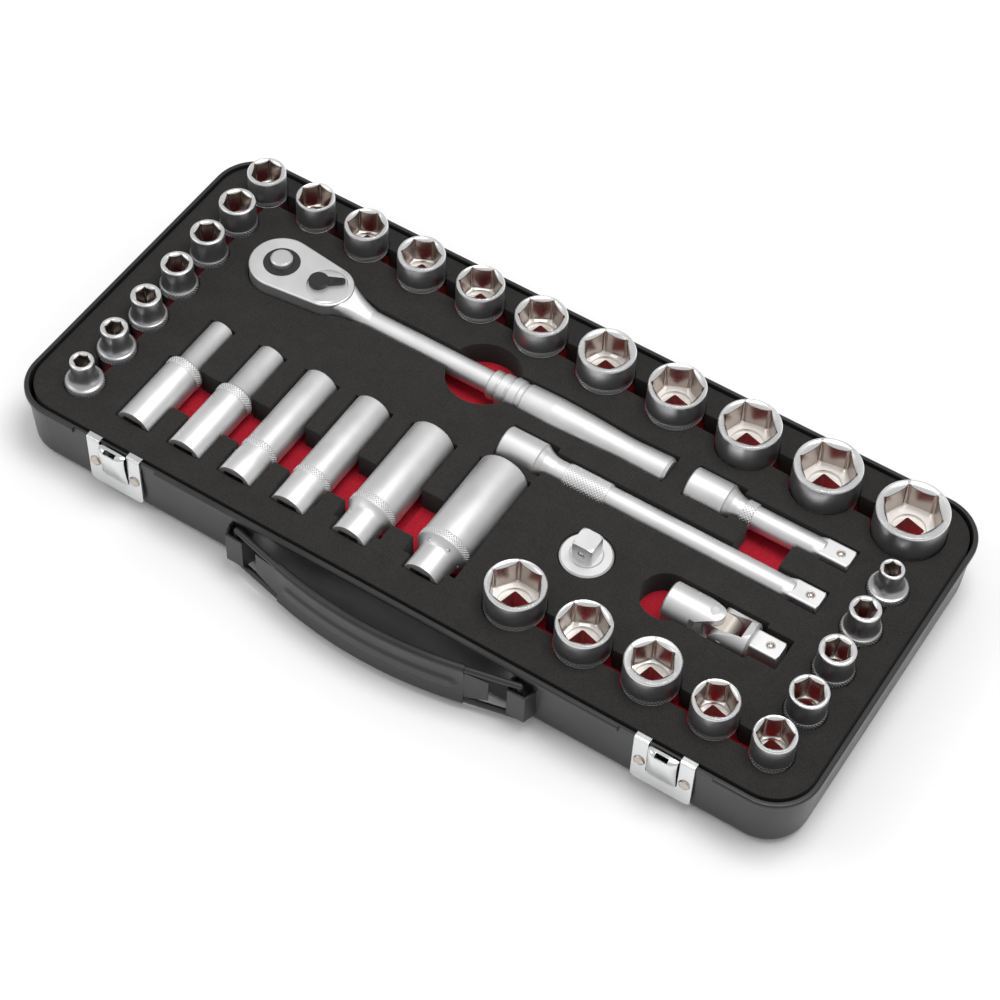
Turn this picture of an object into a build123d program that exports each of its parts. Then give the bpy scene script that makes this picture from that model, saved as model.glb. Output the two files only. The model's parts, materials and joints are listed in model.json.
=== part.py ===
from build123d import *
import math
import os

# Socket wrench set in a pressed steel case: 3/8 inch drive, 37 tools in two layers of foam.
# Millimetres. Origin at the centre of the case's flat base, +X along the case, +Z up.
# The long wall with the handle and the two latch plates faces -Y.

# ---------------------------------------------------------------- driving dimensions
CASE_L, CASE_D, CASE_H = 376.0, 169.6, 32.0   # pressed tray over its walls
CORNER_R = 19.5
SHEET = 1.0                                   # case sheet thickness
BASE_R = 5.0                                  # radius round the base
BEAD_OUT, BEAD_H = 1.1, 3.2                   # rolled rim bead
FRONT_Y = -CASE_D / 2                         # outer face of the front wall

UPPER_FOAM = (371.8, 164.2)                   # length and depth of the upper foam
BASE_FOAM = (370.0, 162.6)
FOAM_SHIFT = (-0.3, 0.8)                      # the foam sits towards the back left corner
RED_TOP = 18.4                                # top of the base foam, floor of every pocket
FOAM_TOP = 30.4                               # top of the upper foam
REST = 0.1                                    # air under a tool that stands on the base foam
PLAY = 0.6                                    # radial play of a tool in its pocket
CHANNEL = 8.0                                 # finger channel between neighbouring sockets

DRIVE = 9.5                                   # 3/8 inch drive square
DRIVE_HOLE = 9.65
DRIVE_END_D = 16.8                            # outside of every drive end
DRIVE_DEPTH = 11.5
SOCKET_L = 25.9
LIE_Z = 27.2                                  # axis of the tools that lie down

METRIC_OD = {6: 10.4, 7: 11.8, 8: 13.2, 9: 14.1, 10: 15.1, 11: 16.2, 12: 17.3, 13: 17.4, 14: 19.4,
             15: 21.2, 16: 21.3, 17: 23.2, 18: 25.1, 19: 25.2, 20: 27.1, 21: 29.3, 22: 31.0}
INCH_SIZES = {"1_4": (6.35, 10.1), "5_16": (7.94, 13.1), "3_8": (9.53, 15.2), "7_16": (11.11, 16.1),
              "1_2": (12.7, 17.6), "9_16": (14.29, 19.6), "5_8": (15.88, 23.4), "11_16": (17.46, 23.4),
              "3_4": (19.05, 25.4)}           # name: across flats, outside diameter
TURN = {6: 25, 7: 25, 8: 15, 9: -15, 10: -20, 11: -10, 12: -5, 13: -10, 14: 25, 15: 25, 16: 25, 17: 30,
        18: 5, 19: 25, 20: 10, 21: 10, 22: 5, "1_4": -5, "5_16": 25, "3_8": -5, "7_16": 0, "1_2": 30,
        "9_16": 25, "5_8": -5, "11_16": 25, "3_4": -5}  # degrees each upright hexagon is turned
SQUARE_TURN = -15.0                           # degrees the upright drive squares are turned
LEFT_X, LEFT_Y0, LEFT_PITCH = -165.0, -62.0, 22.0
BACK_TANGENT, BACK_GAP = 78.3, 9.25           # back row: common outer tangent, gap between sockets
RIGHT_X, RIGHT_Y0, RIGHT_PITCH = 167.4, 31.7, -23.15
FRONT_TANGENT, FRONT_GAP = -70.5, 7.8

DEEP = {8: (12.0, -135.0, -68.5), 10: (13.6, -108.9, -68.5), 12: (16.4, -83.2, -68.5),
        13: (17.4, -56.8, -68.3), 15: (21.2, -27.2, -67.4),
        17: (23.4, 7.4, -66.8)}               # size: nose diameter, X of its axis, Y of its drive end
DEEP_L = 63.5
DEEP_CHANNEL = (-52.5, -30.5)                 # Y limits of the wide channel across the deep sockets

LONG_X, LONG_Y, LONG_L = -1.4, 10.6, 149.9
SHORT_X, SHORT_Y, SHORT_L = 74.2, 35.4, 75.0
BAR_D, BAR_KNURL_D = 10.6, 11.4
FINGER_SLOT = (104.5, 125.5)

ADAPTOR_XY, ADAPTOR_D = (57.9, -21.4), 22.6
ADAPTOR_BASE, ADAPTOR_FACE, ADAPTOR_TOP = 9.0, 30.9, 41.0
HALF_INCH_HOLE = 12.9

UJ_X0, UJ_Y = 96.0, -19.6                     # universal joint: drive end and axis
UJ_YOKE_X, UJ_EAR_X = 108.6, 120.8            # end of the socket's round part, tip of its ears
UJ_PIN1_X, UJ_PIN2_X = 116.3, 122.7           # vertical pin, horizontal pin
UJ_COLLAR_X, UJ_SQUARE_X, UJ_END_X = 130.8, 134.6, 147.0
UJ_SLOT = 9.4                                 # gap between each yoke's ears
UJ_PIN_D = 4.0

RAT_X, RAT_Y = -132.5, 35.4                   # ratchet: drive axis
RAT_SEL_X = -113.0                            # selector axis
RAT_DISC_X, RAT_DISC_R = -108.5, 9.1          # recessed disc round the selector
RAT_HEAD_R, RAT_NECK_R = 14.5, 11.8
RAT_Z0, RAT_Z1 = 22.5, 36.3                   # under and top faces of the head
RAT_AXIS_Z = 26.9                             # axis of the handle
RAT_TAIL_X = 64.0
GEAR_TEETH, GEAR_TIP_R, GEAR_ROOT_R = 48, 9.6, 8.9
CAVITY_R, CAVITY_Z = 10.1, (24.2, 32.6)
BOSS_R = 8.1                                  # round boss of the gear in the head's top
BUTTON_R, BUTTON_TRAVEL = 4.9, 2.5
SELECTOR_SWING = 33.0                         # lever angle each side of the handle
PAWL_SWING, PAWL_STEPS = 10.0, 12             # rock of the pawl, and how finely its nose is cleared
FINGER_HOLE_X, FINGER_HOLE_R = -28.0, 16.8

BALL_R, BALL_OUT, BALL_TRAVEL = 1.6, 0.7, 0.8

LATCH_X, LATCH_W, LATCH_Z = 132.0, 27.0, (5.2, 32.8)
LATCH_SHEET = 1.0
RIVET_X, RIVET_Z, RIVET_HEAD_R, RIVET_SHANK_R = 10.1, 18.4, 2.6, 1.3
BEAD_GAP = 42.0                               # the bead stops either side of each latch plate

STRAP_X, STRAP_HALF, STRAP_DEPTH = 68.0, 4.7, 5.5
STRAP_Z = (7.5, 24.0)
WIRE_R = 1.4
WIRE_OUT = 2.5                                # wire axis outside the front wall
WIRE_Z = (5.0, 26.5)
GRIP_ARC_R, GRIP_OUT = 192.0, 13.2            # plan radius of the grip, and how far its axis stands out
GRIP_CURL_X, GRIP_PLATE_X = 43.5, 57.0        # half lengths of the curled edges and of the plate
GRIP_SHEET = 1.0


os.makedirs("parts", exist_ok=True)


# ---------------------------------------------------------------- helpers
def cyl(x, y, z0, z1, r):
    """Vertical cylinder between two heights."""
    return Pos(x, y, (z0 + z1) / 2) * Cylinder(r, z1 - z0)


def cyl_y(x, y0, y1, z, r):
    """Cylinder along Y."""
    return Pos(x, (y0 + y1) / 2, z) * Rot(90, 0, 0) * Cylinder(r, y1 - y0)


def block(x0, x1, y0, y1, z0, z1):
    """Box between limits."""
    return Pos((x0 + x1) / 2, (y0 + y1) / 2, (z0 + z1) / 2) * Box(x1 - x0, y1 - y0, z1 - z0)


def turned(points):
    """Solid of revolution about Z from (radius, height) points; the axis closes it."""
    outline = [(0, points[0][1])] + points + [(0, points[-1][1])]
    face = make_face(Plane.XZ * Polyline(*outline, close=True))
    return revolve(face, Axis.Z)


def along_x(solid, x, y, z):
    """Put a solid built on Z so that its +Z runs along +X from the point."""
    return Pos(x, y, z) * Rot(0, 90, 0) * solid


def along_y(solid, x, y, z):
    """Put a solid built on Z so that its +Z runs along +Y from the point."""
    return Pos(x, y, z) * Rot(-90, 0, 0) * solid


def tray_block(length, depth, corner, z0, z1):
    """Rounded block centred on the case."""
    return extrude(Pos(0, 0, z0) * RectangleRounded(length, depth, corner), z1 - z0)


def write(name, shape):
    """Write one node."""
    shape = shape if isinstance(shape, (Solid, Compound)) else Compound(list(shape))
    export_step(shape, "parts/" + name + ".step")


def male_square(z0, z1, side=DRIVE):
    """Drive square along Z with a chamfered tip and eased edges."""
    square = Pos(0, 0, z0) * extrude(RectangleRounded(side, side, 0.9), z1 - z0)
    tip = turned([(side, z0), (side, z1 - 2.2), (side * 0.56, z1)])
    return square & tip


# ---------------------------------------------------------------- sockets
def outer_profile(length, od):
    """(radius, height) outline of a socket from its drive end up; the knurled band is plain here."""
    low = DRIVE_END_D / 2
    top = od / 2
    step = length * 0.46
    band = 3.0
    if top < low - 0.4:
        return [(low - 0.5, 0), (low, 0.5), (low, step), (low + 0.15, step + 0.1), (low + 0.15, step + band),
                (low - 0.6, step + band + 0.6), (top + (low - top) * 0.35, step + band + 1.5),
                (top, step + band + 3.2), (top, length - 0.6), (top - 0.6, length)]
    return [(low - 0.5, 0), (low, 0.5), (low, step - 3.4), (low + (top - low) * 0.3, step - 1.6),
            (top + 0.15, step - 0.2), (top + 0.15, step + band), (top, step + band + 0.2),
            (top, length - 0.8), (top - 0.8, length)]


def hex_socket(length, od, flats, turn, square_turn, deep=False):
    """Six-point socket on Z: drive square below, hexagon with relieved corners above."""
    body = turned(deep_profile(length, od) if deep else outer_profile(length, od))
    corner = flats / math.sqrt(3)
    hex_bottom = DRIVE_DEPTH + 1.6
    body -= Pos(0, 0, hex_bottom) * Rot(0, 0, turn) * extrude(RegularPolygon(corner, 6), length)
    mouth = min(corner + 0.35, od / 2 - 0.55)
    body -= turned([(mouth - 1.3, length - 1.3), (mouth, length), (mouth, length + 1)])
    step_r = min(flats / 2 - 0.5, 6.1)
    body -= cyl(0, 0, DRIVE_DEPTH - 0.1, hex_bottom + 0.1, step_r)
    body -= Rot(0, 0, square_turn) * extrude(RectangleRounded(DRIVE_HOLE, DRIVE_HOLE, 0.6), DRIVE_DEPTH)
    body -= turned([(DRIVE_HOLE * 0.70, -0.1), (DRIVE_HOLE * 0.70, 0), (DRIVE_HOLE * 0.62, 0.7)])
    return body


def deep_profile(length, od):
    """Outline of a deep socket: slim noses step down after the band, wide bodies step up before it."""
    low = DRIVE_END_D / 2
    top = od / 2
    if top < low - 1.0:
        step = 33.0
        return [(low - 0.5, 0), (low, 0.5), (low, step), (low + 0.25, step + 0.2), (low + 0.25, step + 3.6),
                (low, step + 3.8), (low - 0.9, step + 4.6), (top, step + 4.8), (top, length - 0.6),
                (top - 0.6, length)]
    step = 15.8
    return [(low - 0.5, 0), (low, 0.5), (low, step - 4.0), (low + (top - low) * 0.35, step - 1.6),
            (top + 0.25, step - 0.2), (top + 0.25, step + 3.2), (top, step + 3.4), (top, length - 0.7),
            (top - 0.7, length)]


# Each upright socket: node name, across flats, outside diameter, x, y, turn.
UPRIGHT = []
for i, size in enumerate(range(6, 13)):
    UPRIGHT.append(("socket_%02dmm" % size, float(size), METRIC_OD[size], LEFT_X, LEFT_Y0 + LEFT_PITCH * i,
                    TURN[size]))
x = LEFT_X
for size in range(13, 23):
    x += (METRIC_OD[size - 1] + METRIC_OD[size]) / 2 + BACK_GAP
    od = METRIC_OD[size]
    UPRIGHT.append(("socket_%02dmm" % size, float(size), od, x, BACK_TANGENT - od / 2, TURN[size]))
for i, name in enumerate(["1_4", "5_16", "3_8", "7_16"]):
    flats, od = INCH_SIZES[name]
    UPRIGHT.append(("socket_" + name + "_inch", flats, od, RIGHT_X, RIGHT_Y0 + RIGHT_PITCH * i, TURN[name]))
x, last = RIGHT_X - 1.7, 0
for name in ["1_2", "9_16", "5_8", "11_16", "3_4"]:
    flats, od = INCH_SIZES[name]
    if last:
        x -= (last + od) / 2 + FRONT_GAP
    last = od
    UPRIGHT.append(("socket_" + name + "_inch", flats, od, x, FRONT_TANGENT + od / 2, TURN[name]))

for name, flats, od, x, y, turn in UPRIGHT:
    write(name, Pos(x, y, RED_TOP + REST) * hex_socket(SOCKET_L, od, flats, turn, SQUARE_TURN))
for size, (od, x, y0) in DEEP.items():
    write("deep_socket_%02dmm" % size, along_y(hex_socket(DEEP_L, od, float(size), 0, 0, True), x, y0, LIE_Z))


# ---------------------------------------------------------------- detent balls
def ball_hole(x, y, z, side=DRIVE):
    """Blind bore up through a drive square's top face for its detent ball."""
    return cyl(x, y, z + side / 2 - BALL_R * 2 - BALL_TRAVEL - 0.4, z + side / 2 + 1, BALL_R + 0.06)


def ball(x, y, z, side=DRIVE):
    """Detent ball standing out of a drive square's top face."""
    return Pos(x, y, z + side / 2 + BALL_OUT - BALL_R) * Sphere(BALL_R)


# ---------------------------------------------------------------- extension bars
def extension(length, knurl):
    """Extension bar on Z: female end at 0, male square at its far end."""
    low = DRIVE_END_D / 2
    bar = BAR_D / 2
    points = [(low - 0.6, 0), (low, 0.6), (low, 17.6), (low - 0.6, 18.2), (bar + 1.3, 20.4), (bar + 0.3, 23.0),
              (bar, 25.5), (bar, knurl[0]), (BAR_KNURL_D / 2, knurl[0] + 0.3), (BAR_KNURL_D / 2, knurl[1] - 0.3),
              (bar, knurl[1]), (bar, length - 12.6), (bar - 1.0, length - 11.4)]
    body = turned(points) + male_square(length - 13.0, length)
    return body - Pos(0, 0, -1) * extrude(RectangleRounded(DRIVE_HOLE, DRIVE_HOLE, 0.6), DRIVE_DEPTH + 1.5)


for name, (x, y, length, knurl) in {"extension_150mm": (LONG_X, LONG_Y, LONG_L, (30.2, 50.8)),
                                    "extension_75mm": (SHORT_X, SHORT_Y, SHORT_L, (25.2, 30.4))}.items():
    ball_x = x + length - 5.2
    write(name, along_x(extension(length, knurl), x, y, LIE_Z) - ball_hole(ball_x, y, LIE_Z))
    write(name + "_ball", ball(ball_x, y, LIE_Z))

# ---------------------------------------------------------------- adaptor, 1/2 inch female to 3/8 inch male
ax, ay = ADAPTOR_XY
r = ADAPTOR_D / 2
adaptor = turned([(r - 1.0, ADAPTOR_BASE), (r, ADAPTOR_BASE + 1.0), (r, ADAPTOR_FACE - 0.8),
                  (r - 0.8, ADAPTOR_FACE), (7.2, ADAPTOR_FACE), (6.6, ADAPTOR_FACE + 0.7)])
adaptor += male_square(ADAPTOR_FACE - 1, ADAPTOR_TOP)
adaptor -= Pos(0, 0, ADAPTOR_BASE - 1) * extrude(RectangleRounded(HALF_INCH_HOLE, HALF_INCH_HOLE, 0.8), 16)
adaptor_ball_z = ADAPTOR_TOP - 5.2
adaptor = Pos(ax, ay, 0) * adaptor
adaptor -= cyl_y(ax, ay - DRIVE / 2 - 1, ay - DRIVE / 2 + BALL_R * 2 + BALL_TRAVEL + 0.4, adaptor_ball_z,
                 BALL_R + 0.06)
write("drive_adaptor", adaptor)
write("drive_adaptor_ball", Pos(ax, ay - DRIVE / 2 - BALL_OUT + BALL_R, adaptor_ball_z) * Sphere(BALL_R))



# ---------------------------------------------------------------- universal joint
def tongue(x0, half, xc, r):
    """Flat outline symmetric about X: square end at x0, round end of radius r centred at xc."""
    reach = math.hypot(xc - x0, half)
    away = 1 if x0 > xc else -1
    turn = math.atan2(half, x0 - xc) + away * math.acos(r / reach)
    tx, ty = xc + r * math.cos(turn), r * math.sin(turn)
    return make_face(Polyline((x0, -half), (tx, -ty), (tx, ty), (x0, half), close=True)) + Pos(xc, 0) * Circle(r)


def in_plan(sketch, y, z0, z1):
    """Extrude a flat outline upwards between two heights."""
    return extrude(Pos(0, y, z0) * sketch, z1 - z0)


def in_side(sketch, y0, y1, z):
    """Extrude a flat outline across Y, with the outline's second direction along Z."""
    return Pos(0, y1, z) * Rot(90, 0, 0) * extrude(sketch, y1 - y0)


uj_r = DRIVE_END_D / 2 + 0.1
uj_gap = UJ_SLOT / 2
uj_half = uj_gap - 0.12
barrel = along_x(turned([(uj_r - 0.6, 0), (uj_r, 0.6), (uj_r, UJ_EAR_X - UJ_X0)]), UJ_X0, UJ_Y, LIE_Z)
ears = in_plan(tongue(UJ_YOKE_X - 1, uj_r, UJ_PIN1_X, 4.5), UJ_Y, LIE_Z - 20, LIE_Z + 20)
ears += block(UJ_X0 - 1, UJ_YOKE_X - 1, UJ_Y - 10, UJ_Y + 10, LIE_Z - 10, LIE_Z + 10)
uj_socket = (barrel & ears) - block(UJ_YOKE_X, UJ_EAR_X + 1, UJ_Y - 10, UJ_Y + 10, LIE_Z - uj_gap, LIE_Z + uj_gap)
uj_bore = extrude(RectangleRounded(DRIVE_HOLE, DRIVE_HOLE, 0.6), DRIVE_DEPTH)
uj_socket -= along_x(uj_bore, UJ_X0 - 1, UJ_Y, LIE_Z)
uj_socket -= cyl(UJ_PIN1_X, UJ_Y, LIE_Z - 20, LIE_Z + 20, UJ_PIN_D / 2)
write("uj_socket_yoke", uj_socket)

mid_x = (UJ_PIN1_X + UJ_PIN2_X) / 2
mirror_plan = Pos(mid_x, 0) * Rot(0, 0, 180) * Pos(-mid_x, 0)
plan = tongue(UJ_PIN2_X + 1.5, uj_half, UJ_PIN1_X, uj_half)
side = mirror_plan * tongue(UJ_PIN2_X + 1.5, uj_half, UJ_PIN1_X, uj_half)
plan += Pos(UJ_PIN2_X, 0) * Rectangle(2 * uj_half, 2 * uj_half)
side += Pos(UJ_PIN1_X, 0) * Rectangle(2 * uj_half, 2 * uj_half)
uj_cross = in_plan(plan, UJ_Y, LIE_Z - uj_half, LIE_Z + uj_half)
uj_cross &= in_side(side, UJ_Y - uj_half, UJ_Y + uj_half, LIE_Z)
uj_cross -= cyl(UJ_PIN1_X, UJ_Y, LIE_Z - 20, LIE_Z + 20, UJ_PIN_D / 2 + 0.05)
uj_cross -= cyl_y(UJ_PIN2_X, UJ_Y - 20, UJ_Y + 20, LIE_Z, UJ_PIN_D / 2)
write("uj_cross_block", uj_cross)

yoke_x0 = UJ_PIN2_X - 6
yoke_l = UJ_SQUARE_X - yoke_x0
uj_yoke = along_x(turned([(uj_r, 0), (uj_r, yoke_l - 1.0), (uj_r - 1.0, yoke_l)]), yoke_x0, UJ_Y, LIE_Z)
uj_yoke &= in_side(mirror_plan * tongue(2 * mid_x - UJ_SQUARE_X, uj_r, 2 * mid_x - UJ_PIN2_X, 5.0),
                   UJ_Y - 20, UJ_Y + 20, LIE_Z)
uj_yoke -= block(yoke_x0 - 1, UJ_COLLAR_X, UJ_Y - uj_gap, UJ_Y + uj_gap, LIE_Z - 20, LIE_Z + 20)
uj_yoke += along_x(male_square(0, UJ_END_X - UJ_COLLAR_X - 1), UJ_COLLAR_X + 1, UJ_Y, LIE_Z)
uj_yoke -= cyl_y(UJ_PIN2_X, UJ_Y - 20, UJ_Y + 20, LIE_Z, UJ_PIN_D / 2 + 0.05)
uj_yoke -= ball_hole(UJ_END_X - 5.2, UJ_Y, LIE_Z)
write("uj_drive_yoke", uj_yoke)
write("uj_pin_vertical", cyl(UJ_PIN1_X, UJ_Y, LIE_Z - uj_r + 0.1, LIE_Z + uj_r - 0.1, UJ_PIN_D / 2))
write("uj_pin_horizontal", cyl_y(UJ_PIN2_X, UJ_Y - uj_r + 0.1, UJ_Y + uj_r - 0.1, LIE_Z, UJ_PIN_D / 2))
write("uj_ball", ball(UJ_END_X - 5.2, UJ_Y, LIE_Z))

# ---------------------------------------------------------------- ratchet
HEAD_MID_X = RAT_DISC_X
SHAFT_R = 5.15
GRIP_POINTS = [(SHAFT_R, -90.0), (SHAFT_R, -24.0), (6.6, -23.0), (6.6, -20.0), (6.0, -19.3), (7.2, -18.3),
               (7.2, -15.0), (6.6, -14.3), (7.7, -13.2), (7.7, -9.6), (7.1, -8.8), (7.1, -7.2), (7.8, -6.2),
               (8.15, 8.0), (7.6, 24.0), (6.6, 41.0), (6.5, 46.0), (7.0, RAT_TAIL_X - 1.5),
               (6.0, RAT_TAIL_X)]                # (radius, X) along the handle
COVER_Z = (RAT_Z0, CAVITY_Z[0])
SCREWS = [(-116.0, 8.9), (-116.0, -8.9), (-103.0, 0.0)]


def head_outline(inset):
    """Egg-shaped plan of the ratchet head, drawn in by an inset."""
    big, small = RAT_HEAD_R - inset, RAT_NECK_R - inset
    turn = math.acos((big - small) / (HEAD_MID_X - RAT_X))
    c, s = math.cos(turn), math.sin(turn)
    quad = Polyline((RAT_X + big * c, -big * s), (HEAD_MID_X + small * c, -small * s),
                    (HEAD_MID_X + small * c, small * s), (RAT_X + big * c, big * s), close=True)
    return make_face(quad) + Pos(RAT_X, 0) * Circle(big) + Pos(HEAD_MID_X, 0) * Circle(small)


NECK = [(-108.5, 11.6, 22.5, 36.3, 1.0), (-101.0, 8.7, 22.5, 36.3, 2.0), (-95.0, 6.7, 22.3, 34.9, 3.6),
        (-89.0, 5.7, 21.5, 33.0, 4.8), (-82.0, 4.5, 22.4, 31.4, 4.2)]  # X, half width, Z limits, corner
sections = []
for nx, half, low_z, high_z, corner_r in NECK:
    plane = Plane(origin=(nx, RAT_Y, (low_z + high_z) / 2), x_dir=(0, 1, 0), z_dir=(1, 0, 0))
    sections.append(plane * RectangleRounded(2 * half, high_z - low_z, corner_r))
head = in_plan(head_outline(0), RAT_Y, RAT_Z0, RAT_Z1)
head = fillet(head.faces().sort_by(Axis.Z)[-1].edges(), 0.8)
head += loft(sections)
grip = along_x(turned([(radius, along - GRIP_POINTS[0][1]) for radius, along in GRIP_POINTS]),
               GRIP_POINTS[0][1], RAT_Y, RAT_AXIS_Z)
body = head + grip
body -= cyl(RAT_X, RAT_Y, RAT_Z0 - 1, CAVITY_Z[1], CAVITY_R)
body -= cyl(RAT_X, RAT_Y, RAT_Z0, RAT_Z1 + 1, BOSS_R + 0.08)
pawl_room = make_face(Polyline((RAT_SEL_X, -5.2), (RAT_X + 8, -9.0), (RAT_X + 8, 9.0), (RAT_SEL_X, 5.2),
                               close=True))
pawl_room += Pos(RAT_SEL_X, 0) * Circle(5.2)
body -= in_plan(pawl_room, RAT_Y, RAT_Z0, CAVITY_Z[1])
body -= in_plan(head_outline(1.4), RAT_Y, RAT_Z0 - 1, CAVITY_Z[0])
body -= cyl(RAT_DISC_X, RAT_Y, RAT_Z1 - 1.2, RAT_Z1 + 1, RAT_DISC_R)
body -= cyl(RAT_SEL_X, RAT_Y, CAVITY_Z[1] - 1, RAT_Z1 + 1, 2.06)
cover = in_plan(head_outline(1.45), RAT_Y, COVER_Z[0], COVER_Z[1] - 0.05)
cover -= cyl(RAT_X, RAT_Y, RAT_Z0 - 1, RAT_Z1, 7.7)
screws = []
for sx, sy in SCREWS:
    screw = Pos(sx, RAT_Y + sy, 0) * turned([(1.8, COVER_Z[0]), (1.0, COVER_Z[0] + 0.9), (1.0, COVER_Z[1] + 3.0)])
    screws.append(screw)
    body -= screw
    cover -= screw
write("ratchet_body", body)
write("ratchet_cover", cover)
write("ratchet_cover_screws", Compound(children=screws))


def gear_outline(grow):
    """Toothed outline of the ratchet gear; a gap lies on the +X axis."""
    points = []
    for k in range(GEAR_TEETH):
        for radius, step in ((GEAR_ROOT_R, 0.0), (GEAR_TIP_R, 0.4), (GEAR_TIP_R, 0.6)):
            turn = 2 * math.pi * (k + step) / GEAR_TEETH
            points.append(((radius + grow) * math.cos(turn), (radius + grow) * math.sin(turn)))
    return make_face(Polyline(*points, close=True))


stem_r = 1.6
button_floor = RAT_Z1 - 3.6
square_end = RAT_Z0 - 10.0
gear = Pos(RAT_X, RAT_Y, CAVITY_Z[0] + 0.1) * extrude(gear_outline(0), CAVITY_Z[1] - CAVITY_Z[0] - 0.2)
gear += cyl(RAT_X, RAT_Y, CAVITY_Z[1] - 1, RAT_Z1 + 0.1, BOSS_R)
gear += cyl(RAT_X, RAT_Y, RAT_Z0, CAVITY_Z[0] + 1, 7.6)
gear += Pos(RAT_X, RAT_Y, 0) * Rot(180, 0, 0) * male_square(-CAVITY_Z[0], -square_end)
gear -= cyl(RAT_X, RAT_Y, button_floor, RAT_Z1 + 1, BUTTON_R + 0.08)
gear -= cyl(RAT_X, RAT_Y, square_end + 2.0, RAT_Z1, stem_r + 0.08)
gear_ball_z = square_end + 5.2
gear -= cyl_y(RAT_X, RAT_Y - DRIVE / 2 - 1, RAT_Y - stem_r + 0.3, gear_ball_z, BALL_R + 0.06)
write("ratchet_gear", gear)
button_z0 = button_floor + BUTTON_TRAVEL
button = Pos(RAT_X, RAT_Y, 0) * turned([(BUTTON_R, button_z0), (BUTTON_R, RAT_Z1 + 2.6), (BUTTON_R - 0.7, RAT_Z1 + 3.2)])
button += cyl(RAT_X, RAT_Y, gear_ball_z + 4.0, button_z0 + 1, stem_r)
button += cyl(RAT_X, RAT_Y, gear_ball_z + 1.5, gear_ball_z + 4.5, 0.6)
write("ratchet_button", button)
write("ratchet_ball", Pos(RAT_X, RAT_Y - DRIVE / 2 - BALL_OUT + BALL_R, gear_ball_z) * Sphere(BALL_R))

selector = cyl(RAT_SEL_X, RAT_Y, RAT_Z1 - 1.15, RAT_Z1 + 0.9, 4.35)
lever = tongue(0, 2.6, 10.3, 1.3)
selector += Pos(RAT_SEL_X, RAT_Y, RAT_Z1 - 1.15) * Rot(0, 0, SELECTOR_SWING) * extrude(lever, 1.75)
selector += cyl(RAT_SEL_X, RAT_Y, CAVITY_Z[0] + 0.3, RAT_Z1, 2.0)
write("ratchet_selector", selector)

pivot = Axis((RAT_SEL_X, RAT_Y, 0), (0, 0, 1))
nose = in_plan(make_face(Polyline((RAT_SEL_X, 0.2), (RAT_X + 8.1, 2.4), (RAT_X + 7.0, 5.6), (RAT_SEL_X - 4, 4.6),
                                  (RAT_SEL_X, 3.4), close=True)), RAT_Y, CAVITY_Z[0] + 0.2, CAVITY_Z[1] - 0.2)
for k in range(PAWL_STEPS + 1):
    cutter = Pos(RAT_X, RAT_Y, 0) * extrude(gear_outline(0.12), 40)
    nose -= cutter.rotate(pivot, -k * PAWL_SWING / PAWL_STEPS)
nose = nose.rotate(pivot, PAWL_SWING / 2)
pawl = nose + mirror(nose, Plane.XZ.offset(-RAT_Y)) + cyl(RAT_SEL_X, RAT_Y, CAVITY_Z[0] + 0.2, CAVITY_Z[1] - 0.2, 3.4)
pawl = pawl.rotate(pivot, -PAWL_SWING / 2)
pawl -= cyl(RAT_SEL_X, RAT_Y, 0, 50, 2.06)
write("ratchet_pawl", pawl)

# ---------------------------------------------------------------- case
draft = math.degrees(math.atan2(1.5, CASE_H))
inner_l, inner_d = CASE_L - 2 * SHEET, CASE_D - 2 * SHEET
outer = extrude(RectangleRounded(CASE_L - 3, CASE_D - 3, CORNER_R - 1.5), CASE_H, taper=-draft)
outer = fillet(outer.faces().sort_by(Axis.Z)[0].edges(), BASE_R)
inner = extrude(Pos(0, 0, SHEET) * RectangleRounded(inner_l - 3, inner_d - 3, CORNER_R - 2.5), CASE_H, taper=-draft)
inner = fillet(inner.faces().sort_by(Axis.Z)[0].edges(), BASE_R - SHEET)
bead = tray_block(CASE_L + 2 * BEAD_OUT, CASE_D + 2 * BEAD_OUT, CORNER_R + BEAD_OUT, CASE_H - BEAD_H, CASE_H)
bead = fillet(bead.faces().sort_by(Axis.Z)[0].edges() + bead.faces().sort_by(Axis.Z)[-1].edges(), 1.0)
for side_x in (-LATCH_X, LATCH_X):
    bead -= block(side_x - BEAD_GAP / 2, side_x + BEAD_GAP / 2, FRONT_Y - 5, FRONT_Y, 0, CASE_H + 1)
tray = outer + bead - inner
for side_x in (-STRAP_X, STRAP_X):
    band_y = FRONT_Y - STRAP_DEPTH
    wall_y = FRONT_Y + 1.4
    arch = Polyline((-STRAP_HALF - 1.5, wall_y), (-STRAP_HALF + 0.6, band_y), (STRAP_HALF - 0.6, band_y),
                    (STRAP_HALF + 1.5, wall_y), (STRAP_HALF + 0.5, wall_y), (STRAP_HALF - 1.2, band_y + SHEET),
                    (-STRAP_HALF + 1.2, band_y + SHEET), (-STRAP_HALF - 0.5, wall_y), close=True)
    tray -= block(side_x - STRAP_HALF + 0.4, side_x + STRAP_HALF - 0.4, FRONT_Y - 1, FRONT_Y + 3,
                  STRAP_Z[0] - 2.5, STRAP_Z[1] + 2.5)
    tray += extrude(Pos(side_x, 0, STRAP_Z[0]) * make_face(arch), STRAP_Z[1] - STRAP_Z[0])
for side_x in (-LATCH_X, LATCH_X):
    for dx in (-RIVET_X, RIVET_X):
        tray -= cyl_y(side_x + dx, FRONT_Y - 3, FRONT_Y + 4, RIVET_Z, RIVET_SHANK_R)
write("case_tray", tray)

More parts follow.
